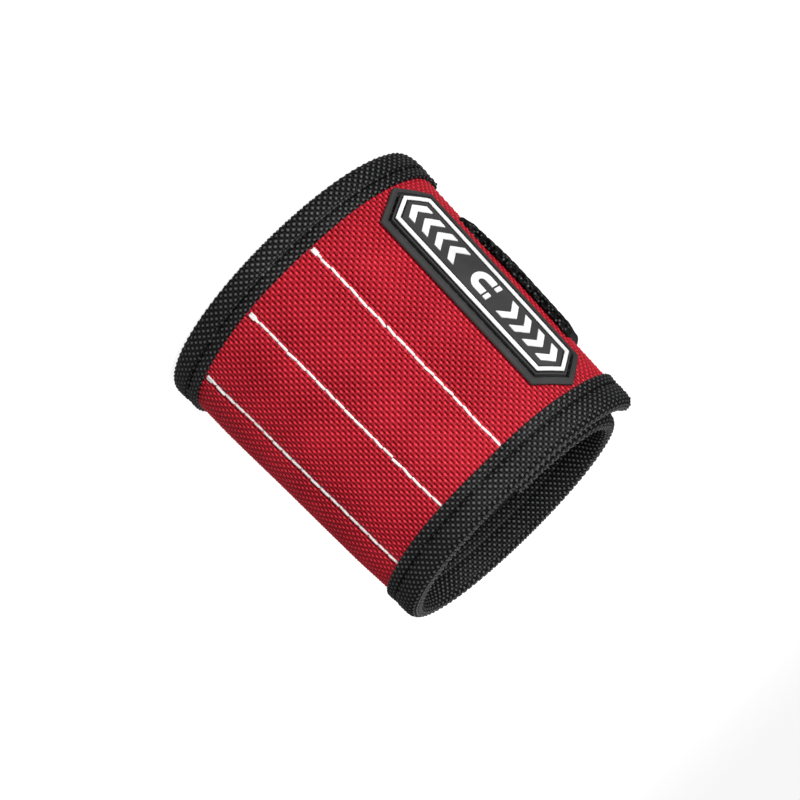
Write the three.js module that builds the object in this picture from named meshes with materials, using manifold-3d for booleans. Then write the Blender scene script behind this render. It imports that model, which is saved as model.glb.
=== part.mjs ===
// Magnetic tool wristband, closed as it is worn: a sewn cuff of woven nylon over a padded lining,
// with magnet plates in sewn pockets, bound rims, a moulded rubber patch and a hook-and-loop strap.
// Sizes are millimetres. The cuff's axis is Z, its elbow rim stands on Z = 0, its hand rim is on top.
// The strip winds inward from the flap's free end, anticlockwise seen from above, and its tail
// tucks in under the flap. A station is a distance along the strip's outer face from the flap's
// free end, and an offset is a distance outward from that face.
import * as THREE from 'three';
import { mergeVertices } from 'three/addons/utils/BufferGeometryUtils.js';
import Module from 'manifold-3d';

const wasm = await Module();
wasm.setup();

// The cuff as worn
const bandWidth = 90;
const halfBreadth = 40;
const halfDepth = 28.5;
const taper = 0.1;
const flapEndAngle = -94;

// The strip, along its length
const flapLength = 46.3;
const pocketLength = 22.1;
const pocketCount = 5;
const endPanelLength = 49;
const lapLength = 40;
const panelGap = 0.4;

// The strip, through its thickness
const fabricThickness = 0.9;
const paddingThickness = 3.4;
const hemThickness = 1.6;
const layerGap = 0.3;
const lapClearance = 0.5;

// Binding tape along the rims and round the tail's end
const tapeThickness = 0.9;
const tapeWidth = 10;
const endTapeWidth = 8;

// Magnet plates
const magnetLength = 14;
const magnetHeight = 18;
const magnetThickness = 1.5;
const magnetCorner = 1.5;
const magnetRows = 3;
const magnetClearance = 0.3;

// Rubber patch on the flap
const patchEndGap = 0.5;
const patchWidth = 18.5;
const patchPoint = 6;
const patchInset = 11.1;
const patchFlangeWidth = 2.2;
const patchFlangeThickness = 0.9;
const patchBodyThickness = 1.8;
const patchBorderWidth = 1.8;
const patchBorderInset = 3;
const patchBorderRise = 0.5;
const patchGrooveDepth = 0.9;

// Closure strap
const strapWidth = 43;
const strapThickness = 1.8;
const strapLength = 55;
const strapRootLength = 4.5;
const strapFoldReach = 0.8;
const strapTabLength = 13;
const strapArch = 0.8;
const strapArchLength = 24;
const hookThickness = 1;
const hookMargin = 2;
const loopThickness = 1.5;
const loopWidth = 52;
const loopMargin = 3;

// Facets
const arcStep = 4;
const cutOverrun = 2;

// Offsets of the layers
const liningOuter = -(fabricThickness + layerGap);
const liningInner = liningOuter - paddingThickness;
const hemInner = liningOuter - hemThickness;
const tapeOuter = layerGap + tapeThickness;
const tapeInner = hemInner - layerGap - tapeThickness;
const loopOuter = layerGap + loopThickness;
const lapPitch = loopOuter - Math.min(liningInner, tapeInner) + lapClearance;

// The strip's outer face is an oval that winds inward by one lap pitch a turn
const flapTurn = THREE.MathUtils.degToRad(flapEndAngle);
const fullTurn = 2 * Math.PI;
const windRate = lapPitch / fullTurn;

function ovalPoint(turn) {
  const x = (halfBreadth - windRate * turn) * Math.sin(turn);
  const y = -(halfDepth - windRate * turn) * Math.cos(turn);
  return new THREE.Vector2(x, y);
}

function ovalTravel(turn) {
  const x = (halfBreadth - windRate * turn) * Math.cos(turn) - windRate * Math.sin(turn);
  const y = (halfDepth - windRate * turn) * Math.sin(turn) + windRate * Math.cos(turn);
  return new THREE.Vector2(x, y);
}

// Length of the oval from the flap's end, by Simpson's rule
function lengthTo(turn) {
  const intervals = 60;
  const step = (turn - flapTurn) / intervals;
  let sum = 0;
  for (let i = 0; i <= intervals; i += 1) {
    const weight = i === 0 || i === intervals ? 1 : 2 + 2 * (i % 2);
    sum += weight * ovalTravel(flapTurn + i * step).length();
  }
  return (sum * step) / 3;
}

function turnAt(station) {
  let turn = flapTurn + station / halfBreadth;
  for (let i = 0; i < 6; i += 1) {
    turn += (station - lengthTo(turn)) / ovalTravel(turn).length();
  }
  return turn;
}

function outwardAt(station) {
  const travel = ovalTravel(turnAt(station)).normalize();
  return new THREE.Vector2(travel.y, -travel.x);
}

function stripPoint(station, offset) {
  return ovalPoint(turnAt(station)).addScaledVector(outwardAt(station), offset);
}

// Panels from the flap to the tail, between the sewn lines that the cuff folds at
const lapStation = lengthTo(flapTurn + fullTurn);
const pocketsEnd = flapLength + pocketCount * pocketLength;
const tailEnd = lapStation + lapLength;
const endPanelStart = tailEnd - endPanelLength;
const flap = { name: 'flap', from: 0, to: flapLength };
const pockets = [];
for (let i = 0; i < pocketCount; i += 1) {
  const from = flapLength + i * pocketLength;
  pockets.push({ name: `pocket_${i + 1}`, from, to: from + pocketLength });
}
const loopPanel = { name: 'loop_panel', from: pocketsEnd, to: endPanelStart };
const endPanel = { name: 'end_panel', from: endPanelStart, to: tailEnd };
const panels = [flap, ...pockets, loopPanel, endPanel];

// A panel's solids stop half a gap short of each sewn line, but run right to a free end
for (const panel of panels) {
  panel.start = panel === flap ? panel.from : panel.from + panelGap / 2;
  panel.stop = panel === endPanel ? panel.to : panel.to - panelGap / 2;
}

function arc(from, to, offset) {
  const steps = Math.max(2, Math.ceil(Math.abs(to - from) / arcStep));
  const points = [];
  for (let i = 0; i <= steps; i += 1) {
    const station = THREE.MathUtils.lerp(from, to, i / steps);
    points.push(stripPoint(station, typeof offset === 'function' ? offset(station) : offset));
  }
  return points;
}

function upright(outline, low, high) {
  const geometry = new THREE.ExtrudeGeometry(new THREE.Shape(outline), {
    depth: high - low,
    bevelEnabled: false,
  });
  return geometry.translate(0, 0, low);
}

// A curved plate between two stations, two offsets and two heights
function plate(from, to, inner, outer, low, high) {
  return upright([...arc(from, to, outer), ...arc(to, from, inner)], low, high);
}

// Closed solids for cutting and joining
function solid(geometry) {
  const bare = geometry.clone();
  bare.deleteAttribute('normal');
  bare.deleteAttribute('uv');
  const merged = mergeVertices(bare, 1e-4);
  return new wasm.Manifold(
    new wasm.Mesh({
      numProp: 3,
      vertProperties: new Float32Array(merged.attributes.position.array),
      triVerts: new Uint32Array(merged.index.array),
    }),
  );
}

function geometryOf(body) {
  const { vertProperties, triVerts } = body.getMesh();
  const geometry = new THREE.BufferGeometry();
  geometry.setAttribute('position', new THREE.BufferAttribute(vertProperties, 3));
  geometry.setIndex(new THREE.BufferAttribute(triVerts, 1));
  return geometry;
}

// The cuff narrows evenly from the elbow rim to the hand rim
function narrowing(height) {
  return 1 - taper * (height / bandWidth - 0.5);
}

function narrowed(geometry) {
  const position = geometry.attributes.position;
  for (let i = 0; i < position.count; i += 1) {
    const scale = narrowing(position.getZ(i));
    position.setXY(i, position.getX(i) * scale, position.getY(i) * scale);
  }
  geometry.computeVertexNormals();
  return geometry;
}

const redNylon = new THREE.MeshStandardMaterial({ color: 0xc01a2c, roughness: 0.62 });
const liningMesh = new THREE.MeshStandardMaterial({ color: 0x1b1c1e, roughness: 0.95 });
const bindingTape = new THREE.MeshStandardMaterial({ color: 0x202122, roughness: 0.8 });
const magnetPlating = new THREE.MeshStandardMaterial({ color: 0xb9bcc0, roughness: 0.3, metalness: 1 });
const greyRubber = new THREE.MeshStandardMaterial({ color: 0x404143, roughness: 0.7 });
const whiteRubber = new THREE.MeshStandardMaterial({ color: 0xe4e4e2, roughness: 0.65 });
const strapWebbing = new THREE.MeshStandardMaterial({ color: 0x1d1d1f, roughness: 0.85 });
const hookTape = new THREE.MeshStandardMaterial({ color: 0x26272a, roughness: 0.6 });
const loopPile = new THREE.MeshStandardMaterial({ color: 0x151618, roughness: 1 });

const wristband = new THREE.Group();

function addPiece(name, shape, material) {
  const geometry = shape instanceof THREE.BufferGeometry ? shape : geometryOf(shape);
  const mesh = new THREE.Mesh(narrowed(geometry), material);
  mesh.name = name;
  wristband.add(mesh);
}

// Flat work laid square on the strip: across the strip, up the cuff and outward
function squareOn(station, offset, height) {
  const travel = ovalTravel(turnAt(station)).normalize();
  const outward = outwardAt(station);
  const place = stripPoint(station, offset);
  return new THREE.Matrix4()
    .makeBasis(
      new THREE.Vector3(travel.x, travel.y, 0),
      new THREE.Vector3(0, 0, 1),
      new THREE.Vector3(outward.x, outward.y, 0),
    )
    .setPosition(place.x, place.y, height);
}

function flatBlock(outline, thickness, matrix) {
  const geometry = new THREE.ExtrudeGeometry(new THREE.Shape(outline), {
    depth: thickness,
    bevelEnabled: false,
  });
  return geometry.applyMatrix4(matrix);
}

function roundedRectangle(width, height, corner) {
  const shape = new THREE.Shape();
  const x = width / 2 - corner;
  const y = height / 2 - corner;
  const quarter = Math.PI / 2;
  shape.absarc(x, y, corner, 0, quarter);
  shape.absarc(-x, y, corner, quarter, 2 * quarter);
  shape.absarc(-x, -y, corner, 2 * quarter, 3 * quarter);
  shape.absarc(x, -y, corner, 3 * quarter, 4 * quarter);
  return shape.extractPoints(4).shape;
}

// Magnet plates are flat, so each lies below the fabric by the rise of the curve over its length
const paddedLow = tapeWidth + layerGap;
const paddedHigh = bandWidth - paddedLow;
const magnetPitch = (paddedHigh - paddedLow) / magnetRows;

function magnetSeat(pocket) {
  const station = (pocket.from + pocket.to) / 2;
  const middle = stripPoint(station, 0);
  const edge = stripPoint(station + magnetLength / 2, 0);
  const rise = middle.sub(edge).dot(outwardAt(station));
  return { station, bottom: liningOuter - rise - magnetThickness };
}

function magnetBlock(pocket, row, grow) {
  const { station, bottom } = magnetSeat(pocket);
  const height = paddedLow + (row + 0.5) * magnetPitch;
  const outline = roundedRectangle(magnetLength + 2 * grow, magnetHeight + 2 * grow, magnetCorner + grow);
  const thickness = grow > 0 ? -bottom + grow + cutOverrun : magnetThickness;
  return flatBlock(outline, thickness, squareOn(station, bottom - grow, height));
}

// Fabric face of each panel
const fabricLow = tapeThickness + layerGap;
const fabricHigh = bandWidth - fabricLow;
for (const { name, start, stop } of panels) {
  addPiece(`${name}_fabric`, plate(start, stop, -fabricThickness, 0, fabricLow, fabricHigh), redNylon);
}

// Padded lining: pressed thin under the binding, with wells for the magnets
const endTapeStart = tailEnd - endTapeWidth;

function liningOf(panel) {
  const { start, stop } = panel;
  let body = solid(plate(start, stop, liningInner, liningOuter, fabricLow, fabricHigh));
  const past = [start - cutOverrun, stop + cutOverrun, liningInner - cutOverrun, hemInner];
  body = body.subtract(solid(plate(...past, fabricLow - cutOverrun, paddedLow)));
  body = body.subtract(solid(plate(...past, paddedHigh, fabricHigh + cutOverrun)));
  if (pockets.includes(panel)) {
    for (let row = 0; row < magnetRows; row += 1) {
      body = body.subtract(solid(magnetBlock(panel, row, magnetClearance)));
    }
  }
  if (panel === endPanel) {
    const under = [endTapeStart - layerGap, stop + cutOverrun, liningInner - cutOverrun, hemInner];
    body = body.subtract(solid(plate(...under, 0, bandWidth)));
  }
  return body;
}

for (const panel of panels) {
  addPiece(`${panel.name}_lining`, liningOf(panel), liningMesh);
}

// Binding tape folded round the elbow rim and the hand rim of each panel
function bindingOf({ start, stop }, low, high, channelLow, channelHigh) {
  const tape = solid(plate(start, stop, tapeInner, tapeOuter, low, high));
  const past = [start - cutOverrun, stop + cutOverrun, tapeInner + tapeThickness, layerGap];
  return tape.subtract(solid(plate(...past, channelLow, channelHigh)));
}

for (const panel of panels) {
  const elbow = bindingOf(panel, 0, tapeWidth, tapeThickness, tapeWidth + cutOverrun);
  addPiece(`${panel.name}_elbow_binding`, elbow, bindingTape);
  const handLow = bandWidth - tapeWidth;
  const hand = bindingOf(panel, handLow, bandWidth, handLow - cutOverrun, bandWidth - tapeThickness);
  addPiece(`${panel.name}_hand_binding`, hand, bindingTape);
}

// Binding tape folded round the tail's end, between the two rims
const endTapeOutline = [
  ...arc(endTapeStart, tailEnd + tapeOuter, tapeOuter),
  ...arc(tailEnd + tapeOuter, endTapeStart, tapeInner),
  ...arc(endTapeStart, tailEnd + layerGap, tapeInner + tapeThickness),
  ...arc(tailEnd + layerGap, endTapeStart, layerGap),
];
addPiece('end_panel_end_binding', upright(endTapeOutline, paddedLow, paddedHigh), bindingTape);

// Magnets
for (const pocket of pockets) {
  for (let row = 0; row < magnetRows; row += 1) {
    addPiece(`${pocket.name}_magnet_${row + 1}`, magnetBlock(pocket, row, 0), magnetPlating);
  }
}

// Rubber patch: a long hexagon with a thin sewn flange, a raised body and a white border in a groove
const patchStation = patchInset + patchWidth / 2;
const patchFoot = layerGap;
const patchTop = patchFoot + patchBodyThickness;
const patchLength = bandWidth - 2 * (tapeWidth + patchEndGap);

function hexagon(inset) {
  const side = patchWidth / 2;
  const slope = Math.hypot(patchPoint, side);
  const halfWidth = side - inset;
  const tip = patchLength / 2 - (inset * slope) / side;
  const shoulder = tip - (halfWidth * patchPoint) / side;
  return [
    new THREE.Vector2(halfWidth, -shoulder),
    new THREE.Vector2(halfWidth, shoulder),
    new THREE.Vector2(0, tip),
    new THREE.Vector2(-halfWidth, shoulder),
    new THREE.Vector2(-halfWidth, -shoulder),
    new THREE.Vector2(0, -tip),
  ];
}

function patchLayer(inset, inner, outer) {
  const half = patchWidth / 2 + cutOverrun;
  const sheet = plate(patchStation - half, patchStation + half, inner, outer, 0, bandWidth);
  const reach = 2 * patchWidth;
  const prism = flatBlock(hexagon(inset), reach, squareOn(patchStation, -reach / 2, bandWidth / 2));
  return solid(sheet).intersect(solid(prism));
}

const borderFoot = patchTop - patchGrooveDepth + layerGap;
const borderTop = patchTop + patchBorderRise;
const borderEnd = patchBorderInset + patchBorderWidth;
const grooveOuter = patchLayer(patchBorderInset - layerGap, borderFoot - layerGap, patchTop + cutOverrun);
const grooveInner = patchLayer(borderEnd + layerGap, 0, patchTop + 2 * cutOverrun);
const patchBase = patchLayer(0, patchFoot, patchFoot + patchFlangeThickness)
  .add(patchLayer(patchFlangeWidth, patchFoot, patchTop))
  .subtract(grooveOuter.subtract(grooveInner));
const patchBorder = patchLayer(patchBorderInset, borderFoot, borderTop).subtract(
  patchLayer(borderEnd, 0, borderTop + cutOverrun),
);
addPiece('patch_base', patchBase, greyRubber);
addPiece('patch_border', patchBorder, whiteRubber);

// Closure strap: sewn on the flap's face at its end, it arches off the flap and lies on the loop fields
const strapLow = (bandWidth - strapWidth) / 2;
const strapHigh = strapLow + strapWidth;
const strapLeaves = layerGap + strapThickness;
const strapLands = loopOuter + layerGap + hookThickness + layerGap + strapThickness - lapPitch;

function strapOuter(station) {
  const along = THREE.MathUtils.clamp(-station / strapArchLength, 0, 1);
  const settle = THREE.MathUtils.smoothstep(along, 0, 1);
  const lift = strapArch * Math.sin(Math.PI * along) ** 2;
  return THREE.MathUtils.lerp(strapLeaves, strapLands, settle) + lift;
}

function strapLayer(from, to, depth, thickness, low, high) {
  const outer = (station) => strapOuter(station) - depth;
  const inner = (station) => outer(station) - thickness;
  return plate(from, to, inner, outer, low, high);
}

const strapTip = -strapLength;
const tabStart = strapTip + strapTabLength;
const strapSize = [0, strapThickness, strapLow, strapHigh];
const strapFold = -strapFoldReach;
const webStart = strapFold - panelGap / 2;
addPiece('strap_root', strapLayer(strapFold + panelGap / 2, strapRootLength, ...strapSize), strapWebbing);
addPiece('strap_web', strapLayer(tabStart + panelGap / 2, webStart, ...strapSize), strapWebbing);
addPiece('strap_pull_tab', strapLayer(strapTip, tabStart - panelGap / 2, ...strapSize), strapWebbing);

const hookDepth = strapThickness + layerGap;
const hookEnd = hookMargin - strapArchLength;
const hookSize = [hookDepth, hookThickness, strapLow + hookMargin, strapHigh - hookMargin];
addPiece('strap_hook_field', strapLayer(tabStart + hookMargin, hookEnd, ...hookSize), hookTape);

// Loop fields that the hooks hold on to
const loopLow = (bandWidth - loopWidth) / 2;
const loopHigh = loopLow + loopWidth;
const loopStretches = [
  [loopPanel, loopPanel.from + loopMargin, loopPanel.to - loopMargin / 2],
  [endPanel, endPanel.from + loopMargin / 2, endTapeStart - loopMargin / 2],
];
for (const [{ name }, from, to] of loopStretches) {
  addPiece(`${name}_loop_field`, plate(from, to, layerGap, loopOuter, loopLow, loopHigh), loopPile);
}

// The origin is under the middle of the cuff's box
const box = new THREE.Box3().setFromObject(wristband);
const middle = box.getCenter(new THREE.Vector3());
wristband.position.set(-middle.x, -middle.y, 0);

// Fold lines, each from the elbow rim to the hand rim, on the outermost face that meets there
function foldLine(station, offset) {
  const point = stripPoint(station, offset);
  return [0, bandWidth].map((height) => {
    const scale = narrowing(height);
    return [point.x * scale - middle.x, point.y * scale - middle.y, height];
  });
}

wristband.userData.foldLines = {
  strap: foldLine(strapFold, strapOuter(strapFold)),
  pull_tab: foldLine(tabStart, strapOuter(tabStart)),
};
for (const panel of panels.slice(1)) {
  wristband.userData.foldLines[panel.name] = foldLine(panel.from, tapeOuter);
}

export default wristband;
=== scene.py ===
"""Dresses the magnetic wristband: woven face, quilted lining, bound rims, sewn lines, patch and strap."""
import math

import bmesh
import bpy
import numpy as np
from mathutils import Matrix, Vector


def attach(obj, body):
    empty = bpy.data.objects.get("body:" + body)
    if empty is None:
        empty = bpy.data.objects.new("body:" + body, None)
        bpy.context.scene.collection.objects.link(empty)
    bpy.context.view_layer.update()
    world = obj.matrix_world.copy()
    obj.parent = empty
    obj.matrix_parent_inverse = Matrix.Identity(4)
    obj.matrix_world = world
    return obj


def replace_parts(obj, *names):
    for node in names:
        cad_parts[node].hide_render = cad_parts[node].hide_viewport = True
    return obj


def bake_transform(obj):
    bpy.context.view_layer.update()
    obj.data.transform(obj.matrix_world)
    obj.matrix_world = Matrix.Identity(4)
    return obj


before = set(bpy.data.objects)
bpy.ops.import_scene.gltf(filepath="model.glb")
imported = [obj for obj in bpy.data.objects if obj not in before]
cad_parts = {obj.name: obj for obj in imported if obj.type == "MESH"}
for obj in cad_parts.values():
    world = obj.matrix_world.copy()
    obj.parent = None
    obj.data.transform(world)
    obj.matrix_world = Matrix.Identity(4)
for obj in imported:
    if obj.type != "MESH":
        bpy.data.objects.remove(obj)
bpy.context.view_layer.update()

bl_info = {
    "name": "Magnetic wristband",
    "version": (1, 0, 0),
    "blender": (4, 5, 0),
    "location": "3D View > Sidebar > Wristband",
    "description": "Builds a sewn magnetic wristband around its solid frame",
    "category": "Object",
}

# The cuff's own sizes in metres, as in the part's source
MM = 0.001
BAND_WIDTH = 90 * MM
HALF_BREADTH = 40 * MM
HALF_DEPTH = 28.5 * MM
TAPER = 0.1
FLAP_END_TURN = math.radians(-94)
LAP_PITCH = 6.9 * MM
FLAP_LENGTH = 46.3 * MM
POCKET_LENGTH = 22.1 * MM
POCKETS = 5
END_PANEL_LENGTH = 49 * MM
LAP_LENGTH = 40 * MM
LINING_OUTER = -1.2 * MM
PADDING = 3.4 * MM
HEM = 1.6 * MM
TAPE_WIDTH = 10 * MM
TAPE_OUTER = 1.2 * MM
TAPE_INNER = -4 * MM
END_TAPE_WIDTH = 8 * MM
PATCH_LENGTH = 69 * MM
PATCH_WIDTH = 18.5 * MM
PATCH_POINT = 6 * MM
PATCH_STATION = 20.35 * MM
STRAP_WIDTH = 43 * MM
STRAP = 1.8 * MM
STRAP_TIP = -55 * MM
STRAP_FOLD = -0.8 * MM
TAB_START = -42 * MM
STRAP_ARCH = 0.8 * MM
STRAP_ARCH_LENGTH = 24 * MM
STRAP_LEAVES = 2.1 * MM
STRAP_LANDS = -1.7 * MM
LOOP_OUTER = 1.8 * MM
LOOP_WIDTH = 52 * MM
CENTRING = (1.8025494 * MM, 0.1276588 * MM)

# Sizes of the dressing alone: the flap's round corner, the patch's marks, the strap's turned end, the weaves
CORNER_REACH = 10 * MM
CORNER_RISE = 5 * MM
MARK_LEVEL = 1.65 * MM
MARK_RISE = 0.45 * MM
STRAP_ROOT = 5.7 * MM
STRAP_TURN = 1.6 * MM
STRAP_TURN_LENGTH = 2.6 * MM
STRAP_DROP = 1.7 * MM
STRAP_SPLIT = STRAP_FOLD - 23.5 * MM
FACE_GIRTH = 0.26
FACE_RELIEF = 0.65 * MM
TAPE_GIRTH = 0.44
TAPE_RELIEF = 0.6 * MM
STRAP_GIRTH = 0.45
STRAP_RELIEF = 0.12 * MM

# Grid steps to each thread of the tape and of the strap
TAPE_SAMPLES = 4
STRAP_SAMPLES = 3

# The winding oval that the strip follows, tabled by length from the flap's free end and past both ends
WIND_RATE = LAP_PITCH / (2 * math.pi)
TURNS = np.linspace(FLAP_END_TURN - 2.4, FLAP_END_TURN + 2 * math.pi + 1.8, 20001)


def oval_point(turn):
    """The oval's point at a turn."""
    x = (HALF_BREADTH - WIND_RATE * turn) * np.sin(turn)
    y = -(HALF_DEPTH - WIND_RATE * turn) * np.cos(turn)
    return x, y


def oval_travel(turn):
    """How that point moves with the turn."""
    x = (HALF_BREADTH - WIND_RATE * turn) * np.cos(turn) - WIND_RATE * np.sin(turn)
    y = (HALF_DEPTH - WIND_RATE * turn) * np.sin(turn) + WIND_RATE * np.cos(turn)
    return x, y


SPEEDS = np.hypot(*oval_travel(TURNS))
STEPS = (SPEEDS[1:] + SPEEDS[:-1]) / 2 * np.diff(TURNS)
STATIONS = np.concatenate([[0], np.cumsum(STEPS)])
STATIONS -= np.interp(FLAP_END_TURN, TURNS, STATIONS)
LAP_STATION = float(np.interp(FLAP_END_TURN + 2 * math.pi, TURNS, STATIONS))
TAIL_END = LAP_STATION + LAP_LENGTH
END_PANEL_START = TAIL_END - END_PANEL_LENGTH
END_TAPE_START = TAIL_END - END_TAPE_WIDTH

# Panels along the strip, the sewn lines between them, and where the cloth bends at each line
PANELS = ["flap"] + [f"pocket_{i + 1}" for i in range(POCKETS)] + ["loop_panel", "end_panel"]
FOLDS = [FLAP_LENGTH + i * POCKET_LENGTH for i in range(POCKETS + 1)] + [END_PANEL_START]
BEND_REACH = 5 * MM
BENDS = [(fold - BEND_REACH, fold + BEND_REACH) for fold in FOLDS]
# The flap bends past its patch, the last pocket ahead of the loop field, and the tail over a long stretch
BENDS[0] = (31.3 * MM, FOLDS[0] + BEND_REACH)
BENDS[5] = (FOLDS[5] - 7 * MM, FOLDS[5] + 3 * MM)
BENDS[6] = (END_PANEL_START - 13 * MM, END_PANEL_START + 15 * MM)
SEWN_LINES = FOLDS[: POCKETS + 1]
MIDDLES = [(FOLDS[i] + FOLDS[i + 1]) / 2 for i in range(len(FOLDS) - 1)]
CUTS = [0.0] + MIDDLES + [TAIL_END]


def strip_place(station, offset, height):
    """Points on the tapered strip at stations along it, offsets outward from its face and heights."""
    station, offset, height = np.broadcast_arrays(station, offset, height)
    turn = np.interp(station, STATIONS, TURNS)
    x, y = oval_point(turn)
    travel_x, travel_y = oval_travel(turn)
    speed = np.hypot(travel_x, travel_y)
    narrowing = 1 - TAPER * (height / BAND_WIDTH - 0.5)
    x = (x + travel_y / speed * offset) * narrowing + CENTRING[0]
    y = (y - travel_x / speed * offset) * narrowing + CENTRING[1]
    return np.stack([x, y, height], axis=-1)


def ease(value):
    """A smooth step from 0 to 1."""
    value = np.clip(value, 0, 1)
    return value * value * (3 - 2 * value)


def furrow(station, lines, width):
    """1 on each line, falling to 0 within a few widths of it."""
    return sum(np.exp(-(((station - line) / width) ** 2)) for line in lines)


def measure(name, description, value):
    """A length setting in metres."""
    return bpy.props.FloatProperty(name=name, description=description, default=value, unit="LENGTH")


class WristbandSizes(bpy.types.PropertyGroup):
    """Sizes of the sewing that may be changed."""

    weave_pitch: measure("Weave pitch", "Width of one thread of the woven face", POCKET_LENGTH / 21)
    tape_pitch: measure("Tape pitch", "Width of one thread of the binding tape", 0.98 * MM)
    webbing_pitch: measure("Webbing pitch", "Width of one thread of the strap", 0.68 * MM)
    pocket_bulge: measure("Pocket bulge", "How far the magnets push a pocket out", 0.45 * MM)
    seam_dip: measure("Seam dip", "How far a sewn line draws the face in", 0.5 * MM)
    stitch_pitch: measure("Stitch pitch", "Length from one white stitch to the next", 3.5 * MM)
    thread: measure("Thread", "Thickness of the white thread", 0.76 * MM)
    hook_pitch: measure("Hook pitch", "Spacing of the hooks under the strap", 1.7 * MM)


def colour(name, description, value):
    """A colour setting in linear light."""
    return bpy.props.FloatVectorProperty(
        name=name, description=description, default=value, size=3, min=0, max=1, subtype="COLOR"
    )


class WristbandColours(bpy.types.PropertyGroup):
    """Colours of the materials that may be changed."""

    # The woven face runs from the deep red between the threads, which is painted shade, to the red on the
    # crests, which is the cloth's own red lifted by a painted highlight.
    face: colour("Face", "Red of the woven face on the top of its threads", (0.92, 0.034, 0.062))
    face_painted_shade: colour("Face, deep", "Red between the threads", (0.05, 0.0001, 0.0004))
    # The tape and the strap run from the near black between their threads, which is painted shade, to their
    # black on the crests, lifted there by a painted highlight; that near black is also the black thread's own
    # colour.
    tape: colour("Tape", "Black of the binding tape on the top of its threads", (0.07, 0.071, 0.072))
    painted_shade_and_black_thread: colour("Tape, deep", "Black between the tape's threads", (0.0006, 0.0006, 0.0006))
    lining: colour("Lining", "Black of the lining", (0.013, 0.013, 0.014))
    webbing: colour("Webbing", "Black of the strap", (0.15, 0.15, 0.152))
    thread: colour("Thread", "White of the sewn lines", (0.9, 0.9, 0.88))
    rubber: colour("Rubber", "Grey of the patch", (0.044, 0.044, 0.044))
    raised: colour("Raised rubber", "White of the patch's border and marks", (0.88, 0.88, 0.88))


def link(tree, source, target):
    tree.links.new(source, target)


def sum_node(tree, operation, *values):
    """A Math node on sockets or numbers."""
    node = tree.nodes.new("ShaderNodeMath")
    node.operation = operation
    for socket, value in zip(node.inputs, values):
        if isinstance(value, bpy.types.NodeSocket):
            link(tree, value, socket)
        else:
            socket.default_value = value
    return node.outputs[0]


def tint(tree, factor, stops):
    """A colour ramp on a number: stops are (position, colour)."""
    node = tree.nodes.new("ShaderNodeValToRGB")
    ramp = node.color_ramp
    while len(ramp.elements) < len(stops):
        ramp.elements.new(0.5)
    for element, (position, value) in zip(ramp.elements, stops):
        element.position = position
        element.color = (*value, 1)
    link(tree, factor, node.inputs["Fac"])
    return node.outputs["Color"]


def noise(tree, vector, scale, detail=3.0, stretch=None):
    """A noise value on a vector, stretched along its axes where asked."""
    if stretch:
        mapping = tree.nodes.new("ShaderNodeMapping")
        mapping.inputs["Scale"].default_value = stretch
        link(tree, vector, mapping.inputs["Vector"])
        vector = mapping.outputs["Vector"]
    node = tree.nodes.new("ShaderNodeTexNoise")
    node.inputs["Scale"].default_value = scale
    node.inputs["Detail"].default_value = detail
    link(tree, vector, node.inputs["Vector"])
    return node.outputs["Fac"]


def bump(tree, height, distance, under=None):
    """A bumped normal from a height in units of the distance."""
    node = tree.nodes.new("ShaderNodeBump")
    node.inputs["Strength"].default_value = 1.0
    node.inputs["Distance"].default_value = distance
    link(tree, height, node.inputs["Height"])
    if under is not None:
        link(tree, under, node.inputs["Normal"])
    return node.outputs["Normal"]


def finish(name, roughness, metallic=0.0, gloss=0.2):
    """A material with its tree and its shader."""
    material = bpy.data.materials.new(name)
    material.use_nodes = True
    tree = material.node_tree
    shader = tree.nodes["Principled BSDF"]
    shader.inputs["Roughness"].default_value = roughness
    shader.inputs["Metallic"].default_value = metallic
    shader.inputs["Specular IOR Level"].default_value = gloss
    return material, tree, shader


def cloth_uv(tree):
    node = tree.nodes.new("ShaderNodeUVMap")
    node.uv_map = "Cloth"
    return node.outputs["UV"]


def object_place(tree):
    return tree.nodes.new("ShaderNodeTexCoord").outputs["Object"]


def woven(name, top, deep, low, roughness, gloss, gloss_tint=(1, 1, 1)):
    """Woven cloth: painted shade between its threads, a share of its colour on the low ones as painted shade,
    its colour lifted on the crests by a painted highlight, uneven dye and fibres.
    """
    material, tree, shader = finish(name, roughness, gloss=gloss)
    shader.inputs["Specular Tint"].default_value = (*gloss_tint, 1)
    uv = cloth_uv(tree)
    relief = tree.nodes.new("ShaderNodeAttribute")
    relief.attribute_name = "Relief"
    dye = noise(tree, uv, 60.0)
    fibre = noise(tree, uv, 2600.0, 2.0)
    raised = sum_node(tree, "SUBTRACT", relief.outputs["Fac"], 0.1)
    level = sum_node(tree, "MULTIPLY_ADD", fibre, 0.2, raised)
    fading = sum_node(tree, "MULTIPLY", sum_node(tree, "SUBTRACT", dye, 0.5), 0.25)
    level = sum_node(tree, "ADD", level, fading)
    # The ramp follows the threads' relief: the deep colour is painted shade in the gaps, the middle colour is
    # painted shade on the low threads, and the top colour is the cloth's colour with a painted highlight on
    # the crests.
    middle = [low * a + (1 - low) * b for a, b in zip(top, deep)]
    link(tree, tint(tree, level, [(0.28, deep), (0.62, middle), (0.92, top)]), shader.inputs["Base Color"])
    rough = sum_node(tree, "MULTIPLY_ADD", fibre, 0.25, roughness - 0.12)
    link(tree, rough, shader.inputs["Roughness"])
    shine = sum_node(tree, "MULTIPLY", sum_node(tree, "MULTIPLY", level, level), gloss)
    link(tree, shine, shader.inputs["Specular IOR Level"])
    link(tree, bump(tree, fibre, 0.05 * MM), shader.inputs["Normal"])
    return material


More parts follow.
